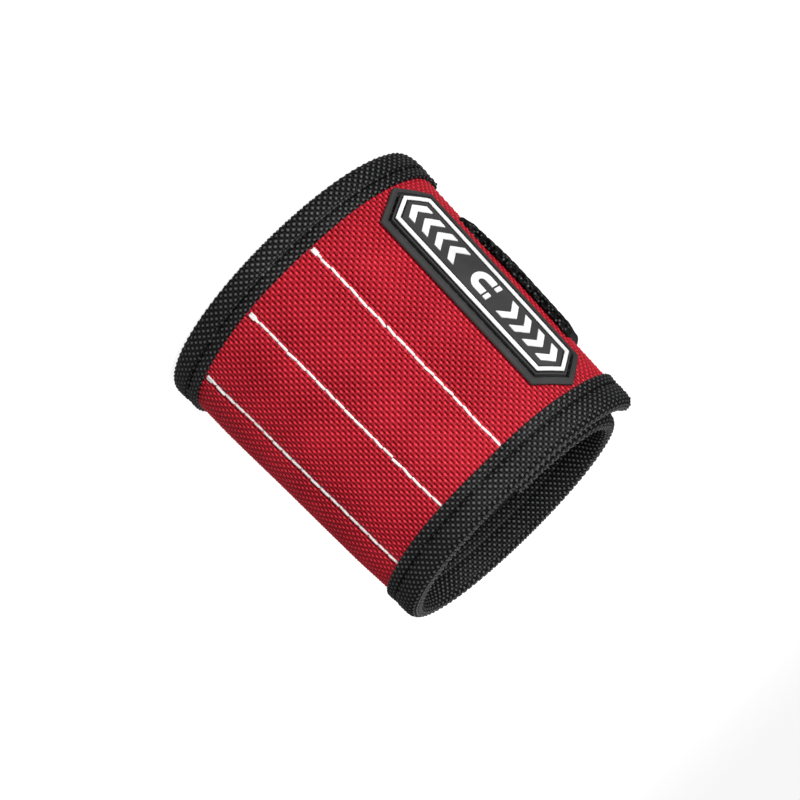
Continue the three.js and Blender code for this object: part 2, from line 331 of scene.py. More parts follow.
def mesh_lining(name, value):
    """Knitted spacer mesh with rows of small holes, darkened into each hole as painted shade."""
    material, tree, shader = finish(name, 0.9, gloss=0.1)
    uv = cloth_uv(tree)
    mapping = tree.nodes.new("ShaderNodeMapping")
    mapping.inputs["Rotation"].default_value = (0, 0, math.radians(45))
    link(tree, uv, mapping.inputs["Vector"])
    cells = tree.nodes.new("ShaderNodeTexVoronoi")
    cells.inputs["Scale"].default_value = 620.0
    cells.inputs["Randomness"].default_value = 0.0
    link(tree, mapping.outputs["Vector"], cells.inputs["Vector"])
    from_hole = sum_node(tree, "MULTIPLY", cells.outputs["Distance"], 2.4)
    hole = sum_node(tree, "SMOOTH_MIN", from_hole, 1.0, 0.2)
    yarn = noise(tree, uv, 1500.0, 2.0)
    level = sum_node(tree, "MULTIPLY", hole, sum_node(tree, "MULTIPLY_ADD", yarn, 0.8, 0.5))
    # The deep colour in the holes is painted shade; the yarn noise, which also gives the yarn its bump,
    # varies the rest.
    deep = [0.15 * x for x in value]
    bright = [1.9 * x for x in value]
    link(tree, tint(tree, level, [(0.15, deep), (0.55, value), (1.0, bright)]), shader.inputs["Base Color"])
    link(tree, bump(tree, hole, 0.35 * MM, under=bump(tree, yarn, 0.08 * MM)), shader.inputs["Normal"])
    return material


def moulded(name, value, roughness, grain):
    """Moulded rubber with a fine matt grain and a little bloom."""
    material, tree, shader = finish(name, roughness)
    place = object_place(tree)
    bloom = noise(tree, place, 120.0)
    pits = noise(tree, place, 3500.0, 2.0)
    low = [0.82 * x for x in value]
    high = [min(1.0, 1.12 * x) for x in value]
    link(tree, tint(tree, bloom, [(0.3, low), (0.7, high)]), shader.inputs["Base Color"])
    rough = sum_node(tree, "MULTIPLY_ADD", pits, 0.2, roughness - 0.1)
    link(tree, rough, shader.inputs["Roughness"])
    link(tree, bump(tree, pits, grain), shader.inputs["Normal"])
    return material


def twisted(name, value):
    """Twisted sewing thread, with painted shade in the low parts of its ply."""
    material, tree, shader = finish(name, 0.6, gloss=0.15)
    place = object_place(tree)
    ply = noise(tree, place, 2400.0, 2.0)
    # The ply's low parts are darkened as painted shade.
    low = [0.85 * x for x in value]
    link(tree, tint(tree, ply, [(0.3, low), (0.6, value)]), shader.inputs["Base Color"])
    link(tree, bump(tree, ply, 0.12 * MM), shader.inputs["Normal"])
    return material


def pile(name, value):
    """Brushed loop pile, with painted shade where its loops lie low and a painted highlight where they stand
    high.
    """
    material, tree, shader = finish(name, 1.0, gloss=0.05)
    uv = cloth_uv(tree)
    loops = noise(tree, uv, 900.0, 4.0)
    tufts = noise(tree, uv, 220.0, 2.0)
    level = sum_node(tree, "MULTIPLY", loops, sum_node(tree, "MULTIPLY_ADD", tufts, 1.2, 0.5))
    # The colour follows the loops' bump, varied by the tufts: painted shade where they lie low, a painted
    # highlight where they stand high.
    deep = [0.2 * x for x in value]
    bright = [2.2 * x for x in value]
    link(tree, tint(tree, level, [(0.15, deep), (0.4, value), (0.6, bright)]), shader.inputs["Base Color"])
    link(tree, bump(tree, loops, 0.6 * MM), shader.inputs["Normal"])
    return material


def plated(name):
    """Nickel plating with a faint brushed grain."""
    material, tree, shader = finish(name, 0.3, metallic=1.0, gloss=0.5)
    place = object_place(tree)
    grain = noise(tree, place, 300.0, 3.0, stretch=(1, 1, 14))
    stops = [(0.3, (0.5, 0.5, 0.52)), (0.7, (0.68, 0.68, 0.7))]
    link(tree, tint(tree, grain, stops), shader.inputs["Base Color"])
    rough = sum_node(tree, "MULTIPLY_ADD", grain, 0.25, 0.18)
    link(tree, rough, shader.inputs["Roughness"])
    link(tree, bump(tree, grain, 0.02 * MM), shader.inputs["Normal"])
    return material


MAKERS = {
    "Red woven nylon": lambda name, c: woven(name, c.face, c.face_painted_shade, 0.44, 0.4, 0.6, (1, 0.5, 0.55)),
    "Binding tape": lambda name, c: woven(name, c.tape, c.painted_shade_and_black_thread, 0.12, 0.4, 0.45),
    "Strap webbing": lambda name, c: woven(name, c.webbing, c.painted_shade_and_black_thread, 0.15, 0.5, 0.25),
    "Lining mesh": lambda name, c: mesh_lining(name, c.lining),
    "White thread": lambda name, c: twisted(name, c.thread),
    "Black thread": lambda name, c: twisted(name, c.painted_shade_and_black_thread),
    "Grey rubber": lambda name, c: moulded(name, c.rubber, 0.62, 0.05 * MM),
    "White rubber": lambda name, c: moulded(name, c.raised, 0.6, 0.04 * MM),
    "Hook plastic": lambda name, c: moulded(name, c.lining, 0.45, 0.03 * MM),
    "Loop pile": lambda name, c: pile(name, c.lining),
    "Nickel plating": lambda name, c: plated(name),
}


def material_of(name):
    """The named material, made at its first use."""
    return bpy.data.materials.get(name) or MAKERS[name](name, bpy.context.scene.wristband_colours)


def piece_from(name, bm, material, smooth=True):
    """A piece of the object from a bmesh, with its material."""
    mesh = bpy.data.meshes.new(name)
    bm.to_mesh(mesh)
    bm.free()
    mesh.polygons.foreach_set("use_smooth", [smooth] * len(mesh.polygons))
    mesh.materials.append(material_of(material))
    piece = bpy.data.objects.new(name, mesh)
    bpy.context.scene.collection.objects.link(piece)
    return piece


def put(verts, points):
    """Moves corners to their points."""
    for vert, point in zip(verts, points):
        vert.co = point


def lengths_along(points):
    """The length along a line of points up to each of them."""
    return np.concatenate([[0], np.cumsum(np.hypot(*np.diff(points, axis=0).T))])


def stretch(start, end, low, high):
    """A function from shares of a stretch of cloth to its stations and heights."""

    def lengths(a, b):
        return start + (end - start) * a, low + (high - low) * b

    return lengths


def thread_height(run, across, sway, body, girth):
    """Height of the threads of one direction, which pass over and under the others."""
    side = np.where(np.floor(across) % 2 < 1, sway, -sway)
    aside = (across % 1 - 0.5) / girth
    wave = np.sin(math.pi * run)
    return side * np.sign(wave) * np.abs(wave) ** 0.6 + body * np.sqrt(np.clip(1 - aside**2, 0, 1))


def plain_weave(along, up, pitch, girth):
    """A relief from 0 in a plain weave's gaps to 1 on its upright threads, girth pitches wide to a side."""
    level = thread_height(along / pitch, up / pitch, 0.45, 0.2, 0.5)
    upright = thread_height(up / pitch, along / pitch, -0.6, 0.4, girth)
    return np.clip(np.maximum(level, upright), 0, 1)


def cloth(name, material, slot, columns, rows, form, lengths, relief=None, depth=0.0):
    """A grid that form puts in place, with its lengths of cloth as its UV map and its threads raised."""
    bm = bmesh.new()
    layer = bm.loops.layers.uv.new("Cloth")
    heights = bm.verts.layers.float.new("Relief")
    bmesh.ops.create_grid(bm, x_segments=columns, y_segments=rows, size=1)
    bm.verts.ensure_lookup_table()
    share = (np.array([v.co[:2] for v in bm.verts]) + 1) / 2
    points = form(share[:, 0], share[:, 1])
    spread = np.stack(np.broadcast_arrays(*lengths(share[:, 0], share[:, 1])), axis=-1)
    put(bm.verts, points)
    for face in bm.faces:
        for loop in face.loops:
            loop[layer].uv = spread[loop.vert.index]
    if relief:
        bm.normal_update()
        for vert, height in zip(bm.verts, relief(spread[:, 0], spread[:, 1])):
            vert[heights] = height
            vert.co += vert.normal * depth * (height - 1)
    return piece_from(name, bm, material)


def thicken(piece, thickness, edge=0.0):
    """Gives a sheet its thickness behind its face, and rounds its edges where asked."""
    solidify = piece.modifiers.new("Thickness", "SOLIDIFY")
    solidify.thickness = thickness
    solidify.offset = -1
    if edge:
        bevel = piece.modifiers.new("Soft edge", "BEVEL")
        bevel.width = edge
        bevel.segments = 2
        bevel.limit_method = "ANGLE"
        bevel.angle_limit = math.radians(60)
    return piece


def bend_between(piece, stations, offset=LINING_OUTER):
    """Bakes a piece's placement into its mesh; the points that it finds at the two stations are not used."""
    start, end = (tuple(strip_place(station, offset, BAND_WIDTH / 2)) for station in stations)
    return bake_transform(piece)


def bend_at(piece, index):
    """Bakes a piece's placement through bend_between, given the stretch round one of the sewn lines."""
    return bend_between(piece, BENDS[index])


def spans():
    """Each stretch of the strip across one sewn line: its line, its two ends and the panels it stands for."""
    for index in range(len(FOLDS)):
        panels = PANELS[:2] if index == 0 else PANELS[index + 1 : index + 2]
        yield index, CUTS[index], CUTS[index + 1], panels


def steps(length, size):
    """How many steps of about a size make a length."""
    return max(2, round(abs(length) / size))


def inside_rims(height, reach):
    """0 at the binding's edges, rising to 1 over a reach from them."""
    low = ease((height - TAPE_WIDTH) / reach)
    high = ease((BAND_WIDTH - TAPE_WIDTH - height) / reach)
    return low * high


def face_offset(station, height):
    """How far the woven face stands out: pockets swell between the sewn lines, which draw it in."""
    sizes = bpy.context.scene.wristband_sizes
    share = (station - FOLDS[0]) / POCKET_LENGTH
    on_pockets = (share > 0) & (share < POCKETS)
    swell = np.where(on_pockets, np.abs(np.sin(math.pi * share)) ** 0.8, 0)
    hold = inside_rims(height, 12 * MM)
    offset = sizes.pocket_bulge * swell * (0.25 + 0.75 * hold)
    offset = offset - sizes.seam_dip * furrow(station, SEWN_LINES, 1.1 * MM)
    ripple = np.sin(station / (7.3 * MM) + 1.3 * np.sin(height / (13 * MM)))
    ripple = ripple * np.sin(height / (9.1 * MM) + 0.7)
    offset = offset + 0.06 * MM * ripple * hold
    turned = np.clip(1 - station / (1.1 * MM), 0, 1)
    return offset - 1.1 * MM * (1 - np.sqrt(1 - turned**2))


def drawn_in(station, height):
    """Heights on the flap, whose elbow corner is drawn in to a round."""
    turn = np.clip(1 - station / CORNER_REACH, 0, 1)
    rise = CORNER_RISE * (1 - np.sqrt(1 - 0.98 * turn**2))
    return height + rise * np.clip(1 - height / (30 * MM), 0, 1) ** 2


def tucked(station, height):
    """Stations on the flap, whose end is tucked back inside the tape of the hand rim."""
    under = ease((height - BAND_WIDTH + TAPE_WIDTH) / (1.5 * MM))
    return station + 1.8 * MM * under * np.clip(1 - station / (8 * MM), 0, 1)


class WRISTBAND_OT_face(bpy.types.Operator):
    """Sew the woven face, in stretches that each cross one sewn line"""

    bl_idname = "wristband.face"
    bl_label = "Woven face"

    def execute(self, context):
        pitch = context.scene.wristband_sizes.weave_pitch
        # Three rows and six columns to each thread, from just inside one rim to just inside the other
        low = pitch * 7 / 6
        rows = int((BAND_WIDTH - 2 * low) / pitch * 3)
        high = low + rows * pitch / 3

        def relief(along, up):
            return plain_weave(along, up, pitch, FACE_GIRTH)

        for index, start, end, panels in spans():
            lengths = stretch(start, end, low, high)

            def form(a, b):
                station, height = lengths(a, b)
                offset = face_offset(station, height)
                return strip_place(tucked(station, height), offset, drawn_in(station, height))

            counts = steps(end - start, pitch / 6), rows
            name = f"face_{index + 1}"
            piece = cloth(name, "Red woven nylon", "red_nylon", *counts, form, lengths, relief, FACE_RELIEF)
            bend_at(piece, index)
            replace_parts(piece, *[f"{panel}_fabric" for panel in panels])
        return {"FINISHED"}


def lining_offset(station, height):
    """The quilted inner face: full between the rims, drawn in at the sewn lines, thin at the ends."""
    pad = inside_rims(height, 2.2 * MM) * (1 - 0.5 * furrow(station, SEWN_LINES, 2.3 * MM))
    pad = pad * ease((END_TAPE_START - station) / (5 * MM))
    full = LINING_OUTER - HEM - (PADDING - HEM) * pad
    seam = -2.1 * MM
    return seam + (full - seam) * ease(station / (4 * MM))


class WRISTBAND_OT_lining(bpy.types.Operator):
    """Quilt the padded lining behind the face"""

    bl_idname = "wristband.lining"
    bl_label = "Padded lining"

    def execute(self, context):
        low, high = 1.3 * MM, BAND_WIDTH - 1.3 * MM
        for index, start, end, panels in spans():
            lengths = stretch(end, start, low, high)

            def form(a, b):
                station, height = lengths(a, b)
                offset = lining_offset(station, height)
                return strip_place(tucked(station, height), offset, drawn_in(station, height))

            columns = steps(end - start, 0.7 * MM)
            piece = cloth(f"lining_{index + 1}", "Lining mesh", "padded_lining", columns, 100, form, lengths)
            thicken(piece, 0.85 * MM)
            bend_at(piece, index)
            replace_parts(piece, *[f"{panel}_lining" for panel in panels])
        return {"FINISHED"}


# The binding tape's round fold at the rim, and how far from the rim its seam runs
RIM_RADIUS = (TAPE_OUTER - TAPE_INNER) / 2
RIM_MIDDLE = (TAPE_OUTER + TAPE_INNER) / 2
TAPE_SEAM = 6.6 * MM


def tape_section():
    """The tape's section from its inner lip round to its outer lip: (offset, distance from the rim)."""
    points = [(TAPE_INNER + 1.5 * MM, TAPE_WIDTH - 0.1 * MM), (TAPE_INNER, TAPE_WIDTH)]
    points += [(TAPE_INNER, TAPE_SEAM + 1 * MM)]
    points += [(TAPE_INNER + 0.3 * MM, TAPE_SEAM), (TAPE_INNER, TAPE_SEAM - 1.1 * MM)]
    for i in range(13):
        angle = math.pi * (1 + i / 12)
        points.append((RIM_MIDDLE + RIM_RADIUS * math.cos(angle), RIM_RADIUS * (1 + math.sin(angle))))
    points += [(TAPE_OUTER, TAPE_SEAM - 1.1 * MM), (TAPE_OUTER - 0.15 * MM, TAPE_SEAM - 0.6 * MM)]
    points += [(TAPE_OUTER - 0.45 * MM, TAPE_SEAM), (TAPE_OUTER - 0.1 * MM, TAPE_SEAM + 0.7 * MM)]
    points += [(TAPE_OUTER, TAPE_WIDTH - 1.6 * MM), (TAPE_OUTER - 0.05 * MM, TAPE_WIDTH - 0.3 * MM)]
    points += [(TAPE_OUTER - 0.35 * MM, TAPE_WIDTH), (TAPE_OUTER - 1.4 * MM, TAPE_WIDTH - 0.1 * MM)]
    return np.array(points)


def tape_weave(length, across):
    """The relief of the binding tape's threads."""
    return plain_weave(length, across, bpy.context.scene.wristband_sizes.tape_pitch, TAPE_GIRTH)


def rim_tape(name, index, start, end, panels, upper):
    """One stretch of tape folded round a rim, closed at the strip's ends."""
    points = tape_section()
    along = lengths_along(points)
    grid = bpy.context.scene.wristband_sizes.tape_pitch / TAPE_SAMPLES
    over = -0.4 * MM if upper else 1.7 * MM
    if index == 0:
        start = -over
    if index == len(FOLDS) - 1:
        end = end + 1.2 * MM

    def section(b):
        length = along[-1] * ((1 - b) if upper else b)
        return np.interp(length, along, points[:, 0]), np.interp(length, along, points[:, 1]), length

    def form(a, b):
        offset, inward, _ = section(b)
        station = start + (end - start) * a
        beyond = np.maximum(1.1 * MM - over - station, station - TAIL_END - 0.1 * MM)
        past = np.clip(beyond / (1.1 * MM), 0, 1)
        close = np.sqrt(1 - past**2 * 0.998)
        offset = RIM_MIDDLE + (offset - RIM_MIDDLE) * close
        wander = 0.12 * MM * np.sin(station / (6.1 * MM) + 2 * upper) * inward / TAPE_WIDTH
        inward = inward + wander + 0.3 * MM * past**2
        height = BAND_WIDTH - inward if upper else drawn_in(station, inward)
        return strip_place(station, offset, height)

    def lengths(a, b):
        return start + (end - start) * a, section(b)[2]

    counts = steps(end - start, grid), steps(along[-1], grid)
    label = f"{name}_{index + 1}"
    piece = cloth(label, "Binding tape", "binding_tape", *counts, form, lengths, tape_weave, TAPE_RELIEF)
    bend_at(piece, index)
    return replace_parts(piece, *[f"{panel}_{name}" for panel in panels])


class WRISTBAND_OT_bindings(bpy.types.Operator):
    """Fold the binding tape round both rims and the tail's end"""

    bl_idname = "wristband.bindings"
    bl_label = "Binding tape"

    def execute(self, context):
        for name, upper in (("elbow_binding", False), ("hand_binding", True)):
            for span in spans():
                rim_tape(name, *span, upper)
        self.end_tape()
        return {"FINISHED"}

    def end_tape(self):
        """The short tape round the tail's end."""
        grid = bpy.context.scene.wristband_sizes.tape_pitch / TAPE_SAMPLES
        low, high = TAPE_WIDTH - 0.4 * MM, BAND_WIDTH - TAPE_WIDTH + 0.4 * MM
        radius = 2.3 * MM
        middle = TAPE_OUTER - radius
        points = [(END_TAPE_START + 0.1 * MM, middle), (END_TAPE_START, middle - radius)]
        points += [(TAIL_END - 1.2 * MM, middle - radius)]
        for i in range(9):
            angle = math.pi * (i / 8 - 0.5)
            points.append((TAIL_END - 1.1 * MM + radius * math.cos(angle), middle + radius * math.sin(angle)))
        points += [(END_TAPE_START + 0.3 * MM, TAPE_OUTER), (END_TAPE_START, TAPE_OUTER - 0.4 * MM)]
        points += [(END_TAPE_START + 0.1 * MM, middle)]
        points = np.array(points[::-1])
        along = lengths_along(points)

        def form(a, b):
            station = np.interp(a * along[-1], along, points[:, 0])
            offset = np.interp(a * along[-1], along, points[:, 1])
            return strip_place(station, offset, low + (high - low) * b)

        def lengths(a, b):
            return low + (high - low) * b, a * along[-1]

        counts = steps(along[-1], grid), steps(high - low, grid)
        look = "end_tape", "Binding tape", "binding_tape"
        piece = cloth(*look, *counts, form, lengths, tape_weave, TAPE_RELIEF)
        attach(piece, "end_panel")
        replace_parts(piece, "end_panel_end_binding")


def add_stitch(bm, start, end, surface, thickness, sink):
    """A stitch from one (station, height) to another, its ends drawn into the cloth."""
    made = bmesh.ops.create_uvsphere(bm, u_segments=8, v_segments=11, radius=1)["verts"]
    shape = np.array([v.co for v in made])
    start, end = np.array(start), np.array(end)
    run = end - start
    aside = np.array([-run[1], run[0]]) / np.hypot(*run)
    share = shape[:, 2]
    across = np.hypot(shape[:, 0], shape[:, 1]) + 1e-9
    girth = np.sqrt(np.clip(1 - share**8, 0, 1)) * thickness / 2
    sideways = shape[:, 0] / across * girth
    plan = (start + end) / 2 + share[:, None] * run / 2 + sideways[:, None] * aside
    lift = shape[:, 1] / across * girth - sink * share**12
    points = strip_place(plan[:, 0], surface(plan[:, 0], plan[:, 1]) + lift, plan[:, 1])
    put(made, points)


def sewn(name, bm, thread):
    """A piece from stitches, their faces turned outward."""
    bmesh.ops.recalc_face_normals(bm, faces=bm.faces)
    return piece_from(name, bm, thread)


class WRISTBAND_OT_seams(bpy.types.Operator):
    """Sew the white lines between the pockets and the black lines along the binding"""

    bl_idname = "wristband.seams"
    bl_label = "Sewn lines"

    def execute(self, context):
        sizes = context.scene.wristband_sizes
        sway = np.random.default_rng(4)
        for index, fold in enumerate(SEWN_LINES):
            bm = bmesh.new()
            height = TAPE_WIDTH + 0.1 * MM
            stop = BAND_WIDTH - TAPE_WIDTH - 0.1 * MM
            count = round((stop - height) / sizes.stitch_pitch)
            pitch = (stop - height) / count
            for i in range(count):
                left, right = fold + sway.normal(0, 0.12 * MM, 2)
                low = height + i * pitch
                ends = (left, low - 0.05 * MM), (right, low + pitch + 0.05 * MM)
                add_stitch(bm, *ends, face_offset, sizes.thread, 0.2 * MM)
            for aside in (-0.3 * MM, 0.3 * MM):
                tack = (fold + aside, height), (fold + aside, height + 2.3 * MM)
                add_stitch(bm, *tack, face_offset, sizes.thread, 0.2 * MM)
            bend_at(sewn(f"sewn_line_{index + 1}", bm, "White thread"), index)
        for upper in (False, True):
            self.rim_seam(upper)
        return {"FINISHED"}

    def rim_seam(self, upper):
        """Black stitches in the crease along one rim."""
        name = "hand_seam" if upper else "elbow_seam"
        pitch = 3.1 * MM
        height = BAND_WIDTH - TAPE_SEAM if upper else TAPE_SEAM

        def crease(station, height):
            return TAPE_OUTER - 0.42 * MM + 0 * station

        for index, start, end, _ in spans():
            bm = bmesh.new()
            for i in range(math.ceil(start / pitch), math.floor(end / pitch)):
                ends = (i * pitch + 0.2 * MM, height), ((i + 1) * pitch - 0.2 * MM, height)
                add_stitch(bm, *ends, crease, 0.42 * MM, 0.35 * MM)
            bend_at(sewn(f"{name}_{index + 1}", bm, "Black thread"), index)


def hexagon(inset):
    """The patch's outline drawn in by an inset: across the strip, up the cuff."""
    side = PATCH_WIDTH / 2
    slope = math.hypot(PATCH_POINT, side)
    half = side - inset
    tip = PATCH_LENGTH / 2 - inset * slope / side
    shoulder = tip - half * PATCH_POINT / side
    return [(half, -shoulder), (half, shoulder), (0, tip), (-half, shoulder), (-half, -shoulder), (0, -tip)]


def hexagon_ring(bm, inset, rise):
    """A closed ring of six edges at an inset and a rise."""
    ring = bmesh.ops.create_circle(bm, segments=6, radius=1, cap_ends=False)["verts"]
    for vert, (across, up) in zip(ring, hexagon(inset)):
        vert.co = (across, up, rise)
    return list({edge for vert in ring for edge in vert.link_edges})


def stepped(levels):
    """A hexagonal moulding drawn through rings at (inset, rise), and its first and last rings."""
    bm = bmesh.new()
    inset, rise = levels[0]
    first = ring = hexagon_ring(bm, inset, rise)
    for next_inset, next_rise in levels[1:]:
        grown = bmesh.ops.extrude_edge_only(bm, edges=ring)["geom"]
        fresh = {v for v in grown if isinstance(v, bmesh.types.BMVert)}
        ring = [e for e in grown if isinstance(e, bmesh.types.BMEdge) and set(e.verts) <= fresh]
        corners = [Vector(corner) for corner in hexagon(inset)]
        for vert in fresh:
            index = min(range(6), key=lambda i: (corners[i] - vert.co.xy).length)
            vert.co = (*hexagon(next_inset)[index], next_rise)
        inset = next_inset
    return bm, (first, ring)


def soften(bm, width, angle):
    """Rounds every edge sharper than an angle."""
    sharp = [e for e in bm.edges if len(e.link_faces) == 2 and e.calc_face_angle() > angle]
    bmesh.ops.bevel(bm, geom=sharp, offset=width, affect="EDGES", segments=2, profile=0.5, material=-1)


def lay_on_flap(bm):
    """Cuts flat work into narrow strips across the flap and curves it to the flap."""
    reach = PATCH_WIDTH / 2
    for cut in np.arange(-reach + 0.75 * MM, reach, 1.5 * MM):
        everything = bm.verts[:] + bm.edges[:] + bm.faces[:]
        bmesh.ops.bisect_plane(bm, geom=everything, plane_co=(cut, 0, 0), plane_no=(1, 0, 0))
    flat = np.array([v.co for v in bm.verts])
    points = strip_place(PATCH_STATION + flat[:, 0], flat[:, 2], BAND_WIDTH / 2 + flat[:, 1])
    put(bm.verts, points)
    bmesh.ops.recalc_face_normals(bm, faces=bm.faces)


class WRISTBAND_OT_patch(bpy.types.Operator):
    """Mould the rubber patch, its white border and its marks, and sew it down"""

    bl_idname = "wristband.patch"
    bl_label = "Rubber patch"

    def execute(self, context):
        self.base()
        self.border()
        self.marks()
        self.seam()
        return {"FINISHED"}

    def base(self):
        """The grey moulding: flange, sewn groove, ridge, seat of the border and inner field."""
        flange = [(0.1, 0.25), (0, 0.85), (0.3, 1.2), (1.2, 1.2), (1.35, 1.4), (1.6, 1.4)]
        groove = [(1.66, 0.25), (2.4, 0.25)]
        ridge = [(2.46, 1.5), (2.9, 1.5), (2.95, 0.9), (3.2, 0.9)]
        seat = [(3.25, 1.8), (4.3, 1.8), (4.35, 1.0), (4.65, 1.0)]
        levels = flange + groove + ridge + seat + [(4.75, 1.75)]
        bm, rings = stepped([(inset * MM, rise * MM) for inset, rise in levels])
        bmesh.ops.contextual_create(bm, geom=rings[0])
        bmesh.ops.contextual_create(bm, geom=rings[-1])
        bmesh.ops.recalc_face_normals(bm, faces=bm.faces)
        soften(bm, 0.06 * MM, math.radians(30))
        lay_on_flap(bm)
        piece = piece_from("patch_moulding", bm, "Grey rubber", smooth=False)
        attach(piece, "flap")
        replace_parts(piece, "patch_base")

    def border(self):
        """The thin white cap on its seat."""
        levels = [(3.25, 1.7), (3.25, 1.98), (3.32, 2.05), (4.23, 2.05), (4.3, 1.98), (4.3, 1.7), (3.25, 1.7)]
        bm, _ = stepped([(inset * MM, rise * MM) for inset, rise in levels])
        bmesh.ops.remove_doubles(bm, verts=bm.verts, dist=1e-6)
        bmesh.ops.recalc_face_normals(bm, faces=bm.faces)
        lay_on_flap(bm)
        piece = piece_from("patch_edge", bm, "White rubber", smooth=False)
        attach(piece, "flap")
        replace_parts(piece, "patch_border")

    def marks(self):
        """A plain horseshoe magnet with chevrons on either side."""
        bm = bmesh.new()
        for side in (-1, 1):
            for i in range(4):
                self.chevron(bm, side * (9.2 + 4.9 * i) * MM, side)
        self.horseshoe(bm)
        grown = bmesh.ops.extrude_face_region(bm, geom=bm.faces[:])["geom"]
        raised = [v for v in grown if isinstance(v, bmesh.types.BMVert)]
        bmesh.ops.translate(bm, verts=raised, vec=(0, 0, MARK_RISE))
        bmesh.ops.recalc_face_normals(bm, faces=bm.faces)
        soften(bm, 0.12 * MM, math.radians(50))
        lay_on_flap(bm)
        piece = piece_from("patch_marks", bm, "White rubber", smooth=False)
        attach(piece, "flap")

    def chevron(self, bm, up, side):
        """A chevron that points away from the magnet."""
        reach, point, half_width = 3.1 * MM, 2.4 * MM, 1.15 * MM
        made = bmesh.ops.create_grid(bm, x_segments=2, y_segments=1, size=1)["verts"]
        for vert in made:
            across, along = vert.co[:2]
            place = up + side * ((1 - abs(across)) * point) + along * half_width
            vert.co = (across * reach, place, MARK_LEVEL)

    def horseshoe(self, bm):
        """A bent bar with a gap before each of its two poles."""
        leg, radius, width = 2.6 * MM, 2.1 * MM, 2.0 * MM
        bend = math.pi * radius
        total = 2 * leg + bend
        made = bmesh.ops.create_grid(bm, x_segments=28, y_segments=1, size=1)["verts"]
        for vert in made:
            length = (vert.co.x + 1) / 2 * total
            reach = radius + vert.co.y * width / 2
            if length < leg:
                place = (reach, leg - length)
            elif length > leg + bend:
                place = (-reach, length - leg - bend)
            else:
                angle = (length - leg) / radius
                place = (reach * math.cos(angle), -reach * math.sin(angle))
            vert.co = (place[0], place[1] - 0.2 * MM, MARK_LEVEL)
        for side in (-1, 1):
            made = bmesh.ops.create_grid(bm, x_segments=1, y_segments=1, size=1)["verts"]
            for vert in made:
                across = side * radius + vert.co.x * width / 2
                vert.co = (across, leg + 1.0 * MM + vert.co.y * 0.65 * MM, MARK_LEVEL)

    def seam(self):
        """Black stitches in the groove round the patch."""
        bm = bmesh.new()
        corners = [np.array(corner) for corner in hexagon(2.03 * MM)]

        def groove(station, height):
            return 0.45 * MM + 0 * station

        for first, second in zip(corners, corners[1:] + corners[:1]):
            count = max(1, round(float(np.hypot(*(second - first))) / (3.2 * MM)))
            for i in range(count):
                ends = []
                for share in ((i + 0.06) / count, (i + 0.94) / count):
                    across, up = first + (second - first) * share
                    ends.append((PATCH_STATION + across, BAND_WIDTH / 2 + up))
                add_stitch(bm, *ends, groove, 0.4 * MM, 0.25 * MM)
        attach(sewn("patch_seam", bm, "Black thread"), "flap")


def strap_offset(station):
    """Outer face of the strap: it arches off the flap's end and settles on the loop fields."""
    along = np.clip(-station / STRAP_ARCH_LENGTH, 0, 1)
    settled = STRAP_LEAVES + (STRAP_LANDS - STRAP_LEAVES) * ease(along)
    return settled + STRAP_ARCH * np.sin(math.pi * along) ** 2


def strap_face(station, height):
    """The strap's outer face: its edges lie lower, and its elbow half is pressed down where it is sewn."""
    across = height - BAND_WIDTH / 2
    edges = 0.55 * MM * (1 - ease((STRAP_WIDTH / 2 - np.abs(across)) / (4 * MM)))
    pressed = 1.2 * MM * (1 - ease((STRAP_WIDTH / 2 + across) / (20 * MM)))
    pressed = pressed * ease((station + 9 * MM) / (7 * MM))
    return strap_offset(station) + 0.15 * MM - edges - pressed


def strap_place(along, height):
    """Points of the strap's outer face by length of cloth, its sewn end turned down onto the flap."""
    bend = STRAP_ROOT - STRAP_TURN
    angle = np.clip((along - bend) / STRAP_TURN_LENGTH, 0, 1) * np.pi / 2
    station = np.minimum(along, bend) + STRAP_TURN * np.sin(angle)
    return strip_place(station, strap_face(station, height) - STRAP_DROP * (1 - np.cos(angle)), height)


def strap_tufts(station, height):
    """Uneven tufts of the strap's threads between its two smooth edges."""
    pitch = bpy.context.scene.wristband_sizes.webbing_pitch
    uneven = np.random.default_rng(11).random((96, 96))
    column, row = np.floor(station / pitch).astype(int), np.floor(height / pitch).astype(int)
    tuft = plain_weave(station, height, pitch, STRAP_GIRTH) * (0.3 + 0.7 * uneven[column % 96, row % 96])
    edge = STRAP_WIDTH / 2 - np.abs(height - BAND_WIDTH / 2)
    return 0.4 + (tuft - 0.4) * ease((edge - 1.2 * MM) / (0.5 * MM))


